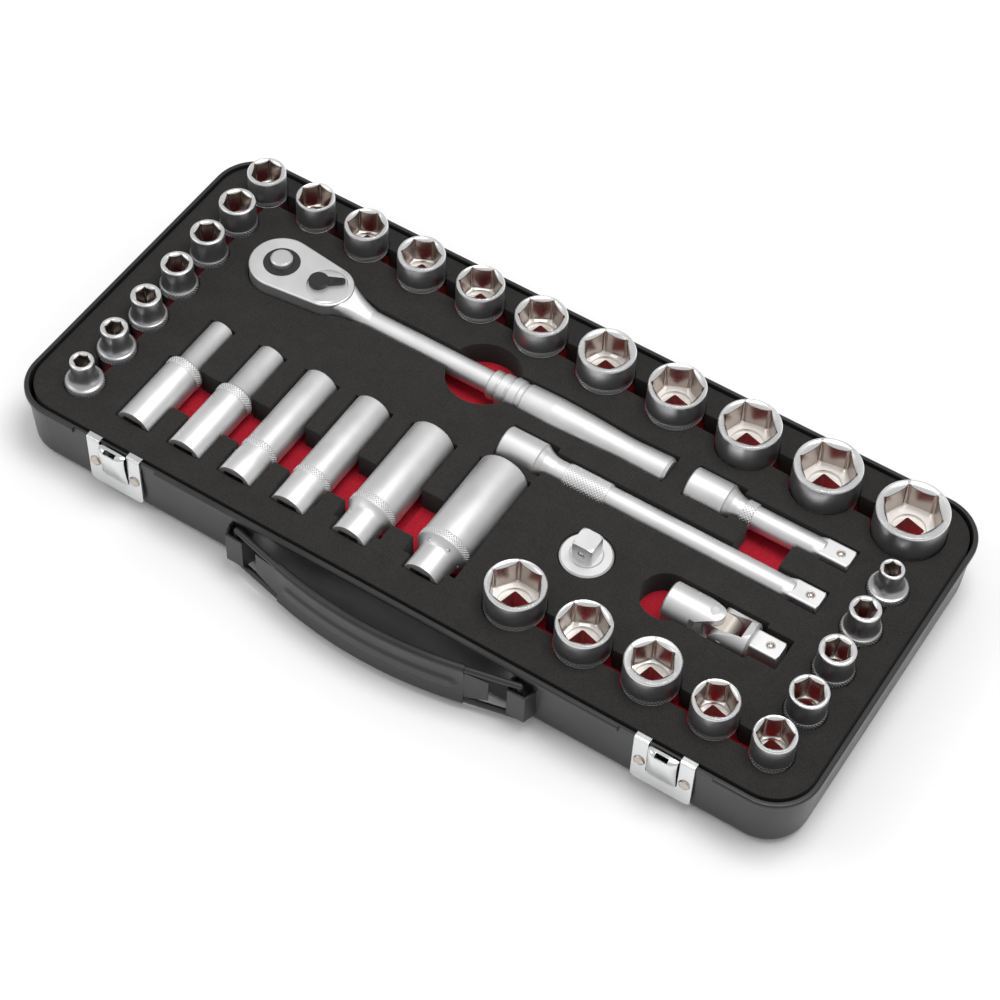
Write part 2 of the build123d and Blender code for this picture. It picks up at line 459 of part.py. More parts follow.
# ---------------------------------------------------------------- latch keepers and rivets
plate_y = FRONT_Y - 0.1
rivets = []
for name, side_x in (("latch_keeper_left", -LATCH_X), ("latch_keeper_right", LATCH_X)):
    half = LATCH_W / 2
    slit = 7.0
    keeper = block(side_x - half, side_x + half, plate_y - LATCH_SHEET, plate_y, LATCH_Z[0], CASE_H + 0.1)
    tabs = block(side_x - half, side_x + half, plate_y - LATCH_SHEET, FRONT_Y + 2.2, CASE_H + 0.05, CASE_H + 0.85)
    tabs += block(side_x - half, side_x + half, FRONT_Y + 1.25, FRONT_Y + 2.0, CASE_H - 0.6, CASE_H + 0.85)
    keeper += tabs
    keeper -= block(side_x - slit, side_x + slit, FRONT_Y - 5, FRONT_Y + 5, 13.0, CASE_H + 2)
    bow = [(0, 12.6), (-1.1, 17.0), (-2.4, 22.0), (-4.2, 27.0), (-4.4, 31.6), (-0.6, 31.6), (-0.6, 30.9),
           (-3.6, 30.9), (-3.4, 27.2), (-1.5, 22.0), (-0.2, 17.6), (0.0, 16.8)]
    strip = make_face(Polyline(*[(plate_y + dy, z) for dy, z in bow], close=True))
    spring = Pos(side_x - slit + 0.3, 0, 0) * Rot(0, 0, 90) * Rot(90, 0, 0) * extrude(strip, 2 * slit - 0.6)
    spring -= block(side_x - 3.2, side_x + 3.2, plate_y - 6, plate_y - 2, 27.6, 30.4)
    keeper += spring
    for dx in (-RIVET_X, RIVET_X):
        keeper -= cyl_y(side_x + dx, FRONT_Y - 3, FRONT_Y + 4, RIVET_Z, RIVET_SHANK_R)
        dome = turned([(RIVET_SHANK_R, -1.4), (RIVET_SHANK_R, 1.1), (RIVET_HEAD_R, 1.1), (RIVET_HEAD_R - 0.3, 1.8),
                       (1.2, 2.3)])
        rivets.append(Pos(side_x + dx, FRONT_Y, RIVET_Z) * Rot(90, 0, 0) * dome)
    write(name, keeper)
write("latch_rivets", Compound(children=rivets))

# ---------------------------------------------------------------- handle
wire_y = FRONT_Y - WIRE_OUT
grip_y = FRONT_Y - GRIP_OUT
arc_cy = grip_y + GRIP_ARC_R
reach = math.hypot(STRAP_X, arc_cy - wire_y)
tangent = math.asin(STRAP_X / reach) - math.acos(GRIP_ARC_R / reach)
arc_x, arc_y = GRIP_ARC_R * math.sin(tangent), arc_cy - GRIP_ARC_R * math.cos(tangent)


def wire_run(z):
    """One horizontal run of the wire: straight from each strap, then bowed along the grip."""
    left = Line((-STRAP_X, wire_y, z), (-arc_x, arc_y, z))
    bow = ThreePointArc((-arc_x, arc_y, z), (0, grip_y, z), (arc_x, arc_y, z))
    right = Line((arc_x, arc_y, z), (STRAP_X, wire_y, z))
    start = Plane(origin=(-STRAP_X, wire_y, z), z_dir=left % 0)
    return sweep(start * Circle(WIRE_R), Wire([left, bow, right]))


wire = wire_run(WIRE_Z[0]) + wire_run(WIRE_Z[1])
for side_x in (-STRAP_X, STRAP_X):
    wire += cyl(side_x, wire_y, WIRE_Z[0], WIRE_Z[1], WIRE_R)
    for z in WIRE_Z:
        wire += Pos(side_x, wire_y, z) * Sphere(WIRE_R)
write("handle_wire", wire)

# the grip is one sheet: a bowed plate with both long edges curled round the wire
curl_r = WIRE_R + 0.05
plate_r = GRIP_ARC_R + curl_r + GRIP_SHEET
mid_z = (WIRE_Z[0] + WIRE_Z[1]) / 2


def arc_sector(r_out, r_in, half_x, z0, z1):
    """Slab between two arcs about the grip's centre of curvature."""
    ring = cyl(0, arc_cy, z0, z1, r_out) - cyl(0, arc_cy, z0 - 1, z1 + 1, r_in)
    return ring & block(-half_x, half_x, grip_y - 8, grip_y + 26, z0 - 2, z1 + 2)


def curl_ring(z):
    """Round tube of the curled edge, following the wire."""
    def tube(r):
        return Pos(0, arc_cy, z) * Torus(GRIP_ARC_R, r)
    tube_solid = tube(curl_r + GRIP_SHEET) - tube(curl_r)
    return tube_solid & block(-GRIP_CURL_X, GRIP_CURL_X, grip_y - 8, grip_y + 14, z - 5, z + 5)


grip_plate = arc_sector(plate_r, plate_r - GRIP_SHEET, GRIP_PLATE_X, WIRE_Z[0], WIRE_Z[1])
for side in (-1, 1):
    x0, x1 = sorted((side * GRIP_CURL_X, side * (GRIP_PLATE_X + 1)))
    grip_plate -= block(x0, x1, grip_y - 8, grip_y + 26, 0, mid_z - 4)
    grip_plate -= block(x0, x1, grip_y - 8, grip_y + 26, WIRE_Z[1] - WIRE_R - 0.1, WIRE_Z[1] + 5)
grip_plate += curl_ring(WIRE_Z[0]) + curl_ring(WIRE_Z[1])
write("handle_grip", grip_plate)

# ---------------------------------------------------------------- foam
def foam_block(size, corner, z0, z1):
    """Foam slab between two heights."""
    return Pos(*FOAM_SHIFT, 0) * tray_block(*size, corner, z0, z1)


upper = foam_block(UPPER_FOAM, CORNER_R - 1.8, RED_TOP, FOAM_TOP)
base = foam_block(BASE_FOAM, CORNER_R - 4.0, SHEET, RED_TOP)
base = chamfer(base.faces().sort_by(Axis.Z)[0].edges(), BASE_R)
cuts = []
for name, flats, od, x, y, turn in UPRIGHT:
    cuts.append(cyl(x, y, RED_TOP, FOAM_TOP + 1, max(od, DRIVE_END_D) / 2 + PLAY))
rows = [UPRIGHT[:17], UPRIGHT[17:21], UPRIGHT[21:]]
for row in rows:
    for first, second in zip(row, row[1:]):
        dx, dy = second[3] - first[3], second[4] - first[4]
        bar = Rot(0, 0, math.degrees(math.atan2(dy, dx))) * Box(math.hypot(dx, dy), CHANNEL, 20)
        cuts.append(Pos((first[3] + second[3]) / 2, (first[4] + second[4]) / 2, RED_TOP + 10) * bar)

deep_x = [x for od, x, y0 in DEEP.values()]
cuts.append(block(deep_x[0], deep_x[-1], *DEEP_CHANNEL, RED_TOP, FOAM_TOP + 1))
low_r = DRIVE_END_D / 2 + PLAY
for size, (od, x, y0) in DEEP.items():
    r = od / 2 + PLAY
    end_y = y0 + DEEP_L + PLAY
    split = y0 + 36.9 if od < DRIVE_END_D - 1 else y0 + 10.6
    wide = max(r, low_r) if od > DRIVE_END_D - 1 else low_r
    cuts.append(block(x - low_r, x + low_r, y0 - PLAY, split, RED_TOP, FOAM_TOP + 1))
    ring_end = split + 1.4
    cuts.append(block(x - wide - 0.3, x + wide + 0.3, split - 4.5, ring_end, RED_TOP, FOAM_TOP + 1))
    if od < DRIVE_END_D - 1:
        cuts.append(block(x - r, x + r, split, end_y, RED_TOP, FOAM_TOP + 1))
    else:
        cuts.append(block(x - r - 0.3, x + r + 0.3, split, end_y, RED_TOP, FOAM_TOP + 1))
        if LIE_Z - r - 0.3 < RED_TOP:
            base -= block(x - r - 0.3, x + r + 0.3, split - 1, end_y, LIE_Z - r - 0.3, RED_TOP + 1)

pocket = head_outline(-PLAY)
neck_half = [(nx, half + PLAY + 0.3) for nx, half, low_z, high_z, corner_r in NECK]
neck_back = [(nx, -half) for nx, half in reversed(neck_half)]
pocket += make_face(Polyline(*(neck_half + neck_back), close=True))
cuts.append(in_plan(pocket, RAT_Y, RED_TOP, FOAM_TOP + 1))
handle_half = [(NECK[-1][0] - 1, SHAFT_R), (-25.5, SHAFT_R), (-24.5, 7.7), (-6.5, 7.9), (8.0, 8.2),
               (24.0, 7.7), (42.0, 6.7), (RAT_TAIL_X + PLAY, 7.1)]
upper_edge = [(px, half + PLAY) for px, half in handle_half]
lower_edge = [(px, -half) for px, half in reversed(upper_edge)]
cuts.append(in_plan(make_face(Polyline(*(upper_edge + lower_edge), close=True)), RAT_Y, RED_TOP, FOAM_TOP + 1))
cuts.append(cyl(FINGER_HOLE_X, RAT_Y, RED_TOP, FOAM_TOP + 1, FINGER_HOLE_R))

for bx, by, length in ((LONG_X, LONG_Y, LONG_L), (SHORT_X, SHORT_Y, SHORT_L)):
    cuts.append(block(bx - PLAY, bx + 22.0, by - low_r, by + low_r, RED_TOP, FOAM_TOP + 1))
    cuts.append(block(bx + 20.0, bx + length + PLAY, by - 6.4, by + 6.4, RED_TOP, FOAM_TOP + 1))
cuts.append(block(*FINGER_SLOT, LONG_Y, SHORT_Y, RED_TOP, FOAM_TOP + 1))
cuts.append(cyl(ax, ay, RED_TOP, FOAM_TOP + 1, ADAPTOR_D / 2 + PLAY))
cuts.append(block(UJ_X0 - PLAY, UJ_SQUARE_X + 1.5, UJ_Y - uj_r - 1.6, UJ_Y + uj_r + 1.6, RED_TOP, FOAM_TOP + 1))
cuts.append(block(UJ_SQUARE_X, UJ_END_X + 1.5, UJ_Y - 8.0, UJ_Y + 8.0, RED_TOP, FOAM_TOP + 1))
cuts.append(cyl(UJ_X0 - 0.5, UJ_Y - 1.4, RED_TOP, FOAM_TOP + 1, 11.5))
for cut in cuts:
    upper -= cut
base -= cyl(RAT_X, RAT_Y, square_end - 0.6, RED_TOP + 1, 8.2)
base -= cyl(ax, ay, ADAPTOR_BASE - REST, RED_TOP + 1, ADAPTOR_D / 2 + PLAY)
write("foam_upper", upper)
write("foam_base", base)
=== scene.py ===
import json
import math

import bmesh
import bpy
from mathutils import Matrix, Vector


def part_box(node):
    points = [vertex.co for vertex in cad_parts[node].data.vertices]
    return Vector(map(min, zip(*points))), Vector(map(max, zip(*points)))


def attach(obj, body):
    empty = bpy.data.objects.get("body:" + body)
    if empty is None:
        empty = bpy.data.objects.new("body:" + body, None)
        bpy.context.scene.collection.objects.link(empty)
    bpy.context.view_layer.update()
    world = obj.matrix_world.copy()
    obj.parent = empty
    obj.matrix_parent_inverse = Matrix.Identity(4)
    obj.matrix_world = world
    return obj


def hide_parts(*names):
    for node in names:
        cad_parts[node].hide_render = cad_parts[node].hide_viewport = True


MM = 0.001
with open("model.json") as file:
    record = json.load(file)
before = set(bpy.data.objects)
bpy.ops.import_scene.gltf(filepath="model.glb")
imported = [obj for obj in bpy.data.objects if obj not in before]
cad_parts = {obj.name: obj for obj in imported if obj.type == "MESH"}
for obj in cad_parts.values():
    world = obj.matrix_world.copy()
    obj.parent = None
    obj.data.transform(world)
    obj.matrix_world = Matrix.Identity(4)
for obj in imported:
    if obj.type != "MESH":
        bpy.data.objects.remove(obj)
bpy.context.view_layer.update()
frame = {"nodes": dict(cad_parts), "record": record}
NODES = frame["nodes"]


# ================================================================ material helpers
def new_material(name, color, rough, metallic=0.0):
    """Principled material with its plain values set; returns (material, node tree, shader)."""
    mat = bpy.data.materials.new(name)
    mat.use_nodes = True
    tree = mat.node_tree
    shader = tree.nodes["Principled BSDF"]
    shader.inputs["Base Color"].default_value = (*color, 1.0)
    shader.inputs["Roughness"].default_value = rough
    shader.inputs["Metallic"].default_value = metallic
    return mat, tree, shader


def noise(tree, size_mm, detail=3.0, rough=0.55):
    """Noise in the object's own space, with features of about size_mm."""
    coord = tree.nodes.new("ShaderNodeTexCoord")
    tex = tree.nodes.new("ShaderNodeTexNoise")
    tex.inputs["Scale"].default_value = 1.0 / (size_mm * MM)
    tex.inputs["Detail"].default_value = detail
    tex.inputs["Roughness"].default_value = rough
    tree.links.new(coord.outputs["Object"], tex.inputs["Vector"])
    return tex.outputs["Fac"]


def spread(tree, value, low, high, start=0.3, end=0.7):
    """Map a 0..1 value between start and end onto low..high."""
    node = tree.nodes.new("ShaderNodeMapRange")
    node.inputs["From Min"].default_value = start
    node.inputs["From Max"].default_value = end
    node.inputs["To Min"].default_value = low
    node.inputs["To Max"].default_value = high
    tree.links.new(value, node.inputs["Value"])
    return node.outputs["Result"]


def blend_colors(tree, value, dark, light):
    """Colour between two ends, driven by a 0..1 value."""
    node = tree.nodes.new("ShaderNodeMix")
    node.data_type = "RGBA"
    node.inputs["A"].default_value = (*dark, 1.0)
    node.inputs["B"].default_value = (*light, 1.0)
    tree.links.new(value, node.inputs["Factor"])
    return node.outputs["Result"]


def combine(tree, a, b, how="MULTIPLY"):
    """Join two values with one operation."""
    node = tree.nodes.new("ShaderNodeMath")
    node.operation = how
    tree.links.new(a, node.inputs[0])
    tree.links.new(b, node.inputs[1])
    return node.outputs["Value"]


def bumped(tree, shader, height, depth_mm, edge_mm=0.0):
    """Bump from a height value, with soft edges of edge_mm where two faces meet."""
    bump = tree.nodes.new("ShaderNodeBump")
    bump.inputs["Distance"].default_value = depth_mm * MM
    bump.inputs["Strength"].default_value = 1.0
    tree.links.new(height, bump.inputs["Height"])
    if edge_mm:
        bevel = tree.nodes.new("ShaderNodeBevel")
        bevel.samples = 4
        bevel.inputs["Radius"].default_value = edge_mm * MM
        tree.links.new(bevel.outputs["Normal"], bump.inputs["Normal"])
    tree.links.new(bump.outputs["Normal"], shader.inputs["Normal"])


# ================================================================ materials
def metal(name, color, rough_low, rough_high, grain_mm=0.22, depth_mm=0.0012, edge_mm=0.25):
    """Plated steel: fine grain, cloudy handling marks in the roughness and eased edges."""
    mat, tree, shader = new_material(name, color, rough_low, 1.0)
    grain = noise(tree, grain_mm, 2.0)
    smudge = noise(tree, 14.0, 4.0)
    mixed = combine(tree, spread(tree, grain, 0.35, 0.65), spread(tree, smudge, 0.0, 0.6), "ADD")
    tree.links.new(spread(tree, mixed, rough_low, rough_high, 0.35, 1.25), shader.inputs["Roughness"])
    tint = blend_colors(tree, spread(tree, smudge, 0.0, 1.0), [c * 0.93 for c in color], color)
    tree.links.new(tint, shader.inputs["Base Color"])
    bumped(tree, shader, grain, depth_mm, edge_mm)
    return mat


def foam(name, dark, light, edge_mm):
    """Closed-cell foam: a fine speckle of cells, a softer mottle and rounded cut edges."""
    mat, tree, shader = new_material(name, light, 0.93)
    cells = noise(tree, 0.55, 3.0, 0.7)
    mottle = noise(tree, 9.0, 3.0)
    mixed = combine(tree, spread(tree, cells, 0.0, 0.8, 0.36, 0.64), spread(tree, mottle, 0.0, 0.2), "ADD")
    tree.links.new(blend_colors(tree, mixed, dark, light), shader.inputs["Base Color"])
    tree.links.new(spread(tree, cells, 0.85, 1.0), shader.inputs["Roughness"])
    shader.inputs["Specular IOR Level"].default_value = 0.25
    shader.inputs["Sheen Weight"].default_value = 0.08
    bumped(tree, shader, cells, 0.10, edge_mm)
    return mat


def paint(name, color, rough):
    """Black powder coat over pressed steel: orange peel, a film of dust and eased edges."""
    mat, tree, shader = new_material(name, color, rough)
    peel = noise(tree, 0.9, 2.0)
    dust = noise(tree, 22.0, 5.0)
    tree.links.new(spread(tree, dust, rough - 0.05, rough + 0.08), shader.inputs["Roughness"])
    tone = blend_colors(tree, spread(tree, dust, 0.0, 1.0), color, [c * 1.5 for c in color])
    tree.links.new(tone, shader.inputs["Base Color"])
    shader.inputs["Specular IOR Level"].default_value = 0.5
    bumped(tree, shader, peel, 0.012, 0.5)
    return mat


MATERIALS = {
    "case_paint": paint("case_paint", (0.014, 0.014, 0.015), 0.33),
    "foam_charcoal": foam("foam_charcoal", (0.012, 0.0115, 0.011), (0.034, 0.032, 0.031), 0.7),
    "foam_red": foam("foam_red", (0.34, 0.006, 0.018), (0.60, 0.018, 0.040), 0.5),
    "zinc_plate": metal("zinc_plate", (0.80, 0.805, 0.81), 0.16, 0.28, 0.5, 0.002, 0.3),
    "rivet_steel": metal("rivet_steel", (0.60, 0.54, 0.49), 0.30, 0.42, 0.5, 0.002, 0.3),
    "detent_ball": metal("detent_ball", (0.72, 0.68, 0.64), 0.12, 0.20, 0.3, 0.001, 0.0),
    "black_plastic": paint("black_plastic", (0.010, 0.010, 0.010), 0.40),
    "blackened_steel": paint("blackened_steel", (0.012, 0.012, 0.012), 0.45),
    "polished_chrome": metal("polished_chrome", (0.78, 0.78, 0.785), 0.30, 0.40),
    "socket_chrome": metal("socket_chrome", (0.52, 0.52, 0.53), 0.28, 0.38),
    "satin_chrome": metal("satin_chrome", (0.77, 0.77, 0.775), 0.42, 0.54, 0.3, 0.003),
}
# Painted highlight: a brighter, glossier copy of the chrome for the socket rims and mouths, lighter than
# the socket body.
RIM_CHROME_PAINTED_HIGHLIGHT = metal("rim_chrome", (0.86, 0.86, 0.86), 0.22, 0.32, 0.22, 0.0012, 0.15)
CROSS_STEEL = metal("cross_steel", (0.58, 0.53, 0.47), 0.40, 0.52, 0.3, 0.004, 0.4)
# Painted reflection and shade: a darker red-brown copy of the chrome for the drive hole walls. It stands in
# for the red foam reflected there and the shade inside the hole.
HOLE_CHROME_PAINTED_REFLECTION = metal("hole_chrome", (0.62, 0.54, 0.50), 0.38, 0.50, 0.3, 0.003, 0.0)
# Painted shade: a darker, warmer copy of the chrome for the hexagon walls inside each socket.
WALL_CHROME_PAINTED_SHADE = metal("wall_chrome", (0.46, 0.40, 0.365), 0.20, 0.30, 0.22, 0.001, 0.0)
# Painted highlight: a near-white copy of the chrome for the floor and step inside each socket.
FLOOR_CHROME_PAINTED_HIGHLIGHT = metal("floor_chrome", (0.97, 0.94, 0.90), 0.42, 0.55, 0.22, 0.002, 0.0)

for part in frame["record"]["subparts"]:
    node = part["node"]
    look = CROSS_STEEL if node == "uj_cross_block" else MATERIALS[part["material_slot"]]
    NODES[node].data.materials.clear()
    NODES[node].data.materials.append(look)


# ================================================================ mesh helpers
CRISP_DEG = 12
STEPS_PER_PITCH = 4
KNURL_OVERRUN = 0.05


def middle_of(name):
    """Middle of a CAD node's box in millimetres, with its two corners."""
    low_corner, high_corner = (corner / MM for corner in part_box(name))
    return (low_corner + high_corner) / 2, low_corner, high_corner


def along_x(x, y, z):
    """Matrix that lays a piece made along Z on the X direction, starting at a point."""
    return Matrix.Translation((x, y, z)) @ Matrix.Rotation(math.pi / 2, 4, "Y")


def smooth_step(t):
    """S-shaped rise from 0 to 1."""
    return t * t * (3 - 2 * t)


def shaped_ring(radius_at, z_at, count):
    """Closed ring whose radius and height depend on the angle."""
    ring = []
    for k in range(count):
        a = 2 * math.pi * k / count
        r = radius_at(a)
        ring.append(Vector((r * math.cos(a), r * math.sin(a), z_at(r))))
    return ring


def circle_ring(radius, z, count):
    """Level circle of points."""
    return shaped_ring(lambda a: radius, lambda r: z, count)


def skin(bm, rings, material_of, closed=False):
    """Join each ring to the next with quads; material_of gives the slot of each band."""
    rows = [[bm.verts.new(p) for p in ring] for ring in rings]
    pairs = list(zip(rows, rows[1:]))
    if closed:
        pairs.append((rows[-1], rows[0]))
    for band, (a, b) in enumerate(pairs):
        n = len(a)
        for k in range(n):
            face = bm.faces.new((a[k], a[(k + 1) % n], b[(k + 1) % n], b[k]))
            face.material_index = material_of(band)
            face.smooth = True


def place(bm, name, matrix, materials, body, replaced=None, sharp_deg=40, crisp=()):
    """Turn a bmesh in millimetres into a piece that rides on a body.

    Edges steeper than sharp_deg stay sharp, or steeper than CRISP_DEG between faces of a crisp slot."""
    bmesh.ops.transform(bm, matrix=Matrix.Scale(MM, 4) @ matrix, verts=bm.verts)
    bmesh.ops.recalc_face_normals(bm, faces=bm.faces)
    for edge in bm.edges:
        if len(edge.link_faces) == 2:
            limit = CRISP_DEG if all(f.material_index in crisp for f in edge.link_faces) else sharp_deg
            edge.smooth = edge.calc_face_angle(0) <= math.radians(limit)
    mesh = bpy.data.meshes.new(name)
    bm.to_mesh(mesh)
    bm.free()
    for mat in materials:
        mesh.materials.append(mat)
    obj = bpy.data.objects.new(name, mesh)
    bpy.context.scene.collection.objects.link(obj)
    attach(obj, body)
    if replaced:
        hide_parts(replaced)
    return obj


def ridge(phase):
    """Triangle wave with a period of 1: 0 half-way and 1 at either end."""
    return abs(phase % 1.0 - 0.5) * 2


def knurl_band(bm, radius, z0, z1, pitch_mm, depth):
    """Diamond knurling round Z: a fine tube whose surface rises into crossed ridges.

    Rows and columns are whole steps of a pitch, so that every crest falls on a vertex."""
    count = STEPS_PER_PITCH * max(24, int(2 * math.pi * radius / pitch_mm))
    rows = max(4, int((z1 - z0) / pitch_mm * STEPS_PER_PITCH))
    root = radius - depth * 1.5
    rings = [circle_ring(root, z0 - KNURL_OVERRUN, count)]
    for j in range(rows + 1):
        z = z0 + (z1 - z0) * j / rows
        v = j / STEPS_PER_PITCH
        fade = min(1.0, 0.4 + 8.0 * j / rows, 0.4 + 8.0 * (rows - j) / rows)
        ring = []
        for k in range(count):
            u = k / STEPS_PER_PITCH
            r = radius - depth * (1.0 - min(ridge(u + v), ridge(u - v)) * fade)
            a = 2 * math.pi * k / count
            ring.append(Vector((r * math.cos(a), r * math.sin(a), z)))
        rings.append(ring)
    rings.append(circle_ring(root, z1 + KNURL_OVERRUN, count))
    skin(bm, rings, lambda band: 0)


# ================================================================ sockets
DRIVE_HOLE = 9.65
DRIVE_END_R = 8.4
DRIVE_DEPTH = 11.5
SEGMENTS = 180
INCH = 25.4
DRIVE_EDGE = [(DRIVE_END_R - 0.6, 0), (DRIVE_END_R - 0.15, 0.12), (DRIVE_END_R, 0.6)]
RIM_SLOPE = 0.75
SOCKET_KNURL = (1.35, 0.6)


def across_flats(name):
    """Size of a socket's hexagon in millimetres, from its name."""
    words = name.replace("deep_", "").split("_")[1:]
    if words[0].endswith("mm"):
        return float(words[0][:-2])
    return INCH * float(words[0]) / float(words[1])


def hexagon(flats):
    """Radius of a six-point hole with relieved corners, as a function of the angle."""
    corner = flats / math.sqrt(3)
    relief = 0.05 * flats
    centre = corner - relief * 0.92

    def radius(a):
        off = (a % (math.pi / 3)) - math.pi / 6
        flat = flats / 2 / math.cos(off)
        away = math.pi / 6 - abs(off)
        side = centre * math.sin(away)
        if side < relief:
            return max(flat, centre * math.cos(away) + math.sqrt(relief ** 2 - side ** 2))
        return flat
    return radius, corner + relief * 0.08


def square_hole(side):
    """Radius of a square hole with small corner radii."""
    def radius(a):
        off = (a % (math.pi / 2)) - math.pi / 4
        return min(side / 2 / math.cos(math.pi / 4 - abs(off)), side * 0.665)
    return radius


def upright_outline(top, length):
    """(radius, height) up the outside of a short socket, and its knurled band.

    A small socket necks down above its band; a large one flares out below it."""
    low = DRIVE_END_R
    if top < low - 0.2:
        drop = low - top
        points = DRIVE_EDGE + [(low, 11.2), (low - 0.25, 11.4), (low - 0.25, 13.9), (low - 0.35, 14.1)]
        for i in range(1, 13):
            t = i / 12
            reduced = (drop - 0.35) * math.sin(t * math.pi / 2) ** 0.9
            points.append((low - 0.35 - reduced, 14.1 + 5.4 * t ** 1.7))
        points += [(top, length - 0.7), (top - 0.12, length - 0.25), (top - 0.45, length)]
        return points, (low + 0.12, 11.3, 13.9)
    step = 11.5 if top < 12.9 else 9.4
    points = DRIVE_EDGE + [(low, step - 3.6)]
    for i in range(1, 7):
        t = i / 6
        flare = 0.5 - 0.5 * math.cos(math.pi * t)
        points.append((low + (top - low) * flare, step - 3.6 + 3.3 * t))
    points += [(top - 0.25, step - 0.1), (top - 0.25, step + 2.4), (top, step + 2.6),
               (top, length - 0.95), (top - 0.2, length - 0.4), (top - 0.65, length)]
    return points, (top + 0.12, step, step + 2.3)


def deep_outline(top, length):
    """(radius, height) along the outside of a deep socket, and its knurled band."""
    low = DRIVE_END_R
    if top < low - 0.5:
        step = 33.0
        points = DRIVE_EDGE + [(low, step - 0.5), (low - 0.3, step - 0.3), (low - 0.3, step + 3.9),
                               (low - 0.9, step + 4.4), (top + 0.5, step + 4.8), (top, step + 5.6),
                               (top, length - 0.7), (top - 0.12, length - 0.25), (top - 0.5, length)]
        return points, (low + 0.2, step, step + 3.7)
    step = 15.8
    points = DRIVE_EDGE + [(low, step - 4.4)]
    if top > low + 0.6:
        for i in range(1, 7):
            t = i / 6
            points.append((low + (top - low) * t ** 1.8, step - 4.4 + 4.0 * t))
    points += [(top - 0.2, step - 0.2), (top - 0.2, step + 3.5), (top, step + 3.7), (top, length - 0.8),
               (top - 0.15, length - 0.3), (top - 0.6, length)]
    return points, (top + 0.2, step, step + 3.4)


TURNS = {"06mm": 25, "07mm": 25, "08mm": 15, "09mm": -15, "10mm": -20, "11mm": -10, "12mm": -5, "13mm": -10,
         "14mm": 25, "15mm": 25, "16mm": 25, "17mm": 30, "18mm": 5, "19mm": 25, "20mm": 10, "21mm": 10,
         "22mm": 5, "1_4_inch": -5, "5_16_inch": 25, "3_8_inch": -5, "7_16_inch": 0, "1_2_inch": 30,
         "9_16_inch": 25, "5_8_inch": -5, "11_16_inch": 25, "3_4_inch": -5}
SQUARE_TURN = -15
# Lit and shaded copies of the chrome for the rim, hexagon wall, floor and drive hole: painted highlight,
# painted shade and painted reflection.
SOCKET_PAINTED_LIGHT_LOOKS = [RIM_CHROME_PAINTED_HIGHLIGHT, WALL_CHROME_PAINTED_SHADE, FLOOR_CHROME_PAINTED_HIGHLIGHT, HOLE_CHROME_PAINTED_REFLECTION]
WALL_SLOT = 2


def nose_radius(name, axis, middle, high_corner):
    """Outer radius of a CAD socket close to its open end."""
    near_end = (high_corner[axis] - 1.2) * MM
    across = [i for i in range(3) if i != axis]
    return max(math.hypot(*(v.co[i] - middle[i] * MM for i in across))
               for v in NODES[name].data.vertices if v.co[axis] > near_end) / MM


def build_socket(name):
    """Detailed socket in place of its plain CAD node."""
    deep = name.startswith("deep")
    middle, low_corner, high_corner = middle_of(name)
    axis = 1 if deep else 2
    length = high_corner[axis] - low_corner[axis]
    top = nose_radius(name, axis, middle, high_corner)
    outline, (band_r, band_0, band_1) = (deep_outline if deep else upright_outline)(top, length)
    flats = across_flats(name)
    hexa, corner = hexagon(flats)
    mouth = min(corner + 0.35, outline[-1][0] - 0.05)
    floor = DRIVE_DEPTH + 1.6
    step_r = min(flats / 2 - 0.5, 7.2)
    turn = 0 if deep else TURNS[name.removeprefix("socket_")]
    square_turn = 0 if deep else math.radians(SQUARE_TURN - turn)
    plain_square = square_hole(DRIVE_HOLE)

    def square(a):
        return plain_square(a - square_turn)

    def rim_height(drop):
        """Height of the cone round the mouth, as a function of the radius."""
        return lambda r: length - (mouth - r) * RIM_SLOPE - drop

    rings = [shaped_ring(square, lambda r: 0.0, SEGMENTS)]
    rings += [circle_ring(r, z, SEGMENTS) for r, z in outline]
    outer = len(rings) - 3
    rings.append(circle_ring(mouth, length, SEGMENTS))
    rings.append(shaped_ring(lambda a: hexa(a) + 0.12, rim_height(0.05), SEGMENTS))
    rings.append(shaped_ring(hexa, rim_height(0.3), SEGMENTS))
    rim = len(rings) - 2
    rings.append(shaped_ring(hexa, lambda r: floor + 0.3, SEGMENTS))
    wall = len(rings) - 1
    rings.append(shaped_ring(lambda a: max(hexa(a) - 0.3, step_r + 0.1), lambda r: floor, SEGMENTS))
    rings.append(circle_ring(step_r + 0.05, floor - 0.15, SEGMENTS))
    rings.append(circle_ring(step_r, floor - 0.35, SEGMENTS))
    rings.append(circle_ring(step_r, DRIVE_DEPTH, SEGMENTS))
    rings.append(shaped_ring(square, lambda r: DRIVE_DEPTH, SEGMENTS))

    def region(band):
        """Material slot of a band of faces: outside, rim, hexagon wall, floor or drive hole."""
        return sum(band >= limit for limit in (outer, rim, wall, len(rings) - 1))

    bm = bmesh.new()
    skin(bm, rings, region, closed=True)
    knurl_band(bm, band_r + 0.2, band_0, band_1, *SOCKET_KNURL)
    base = middle.copy()
    base[axis] = low_corner[axis]
    if deep:
        matrix = Matrix.Translation(base) @ Matrix.Rotation(-math.pi / 2, 4, "X")
    else:
        matrix = Matrix.Translation(base) @ Matrix.Rotation(math.radians(turn), 4, "Z")
    slot = "satin_chrome" if deep else "socket_chrome"
    place(bm, "detail_" + name, matrix, [MATERIALS[slot]] + SOCKET_PAINTED_LIGHT_LOOKS, name, name,
          crisp=(WALL_SLOT,))


for node in sorted(NODES):
    if node.startswith(("socket_", "deep_socket_")):
        build_socket(node)


# ================================================================ extension bars
SQUARE_LENGTH = 12.2
SHOULDER = {"length": 5.0, "shaft_r": 5.3}
BAR_BAND_R = 6.0
BAR_KNURL = (1.5, 0.55)


def bar_band(node, start, stop):
    """Knurled sleeve on a bar that lies along X; distances count from its female end."""
    middle, low_corner, _ = middle_of(node)
    bm = bmesh.new()
    knurl_band(bm, BAR_BAND_R, start, stop, *BAR_KNURL)
    place(bm, node + "_knurl", along_x(low_corner.x, middle.y, middle.z), [MATERIALS["satin_chrome"]], node)


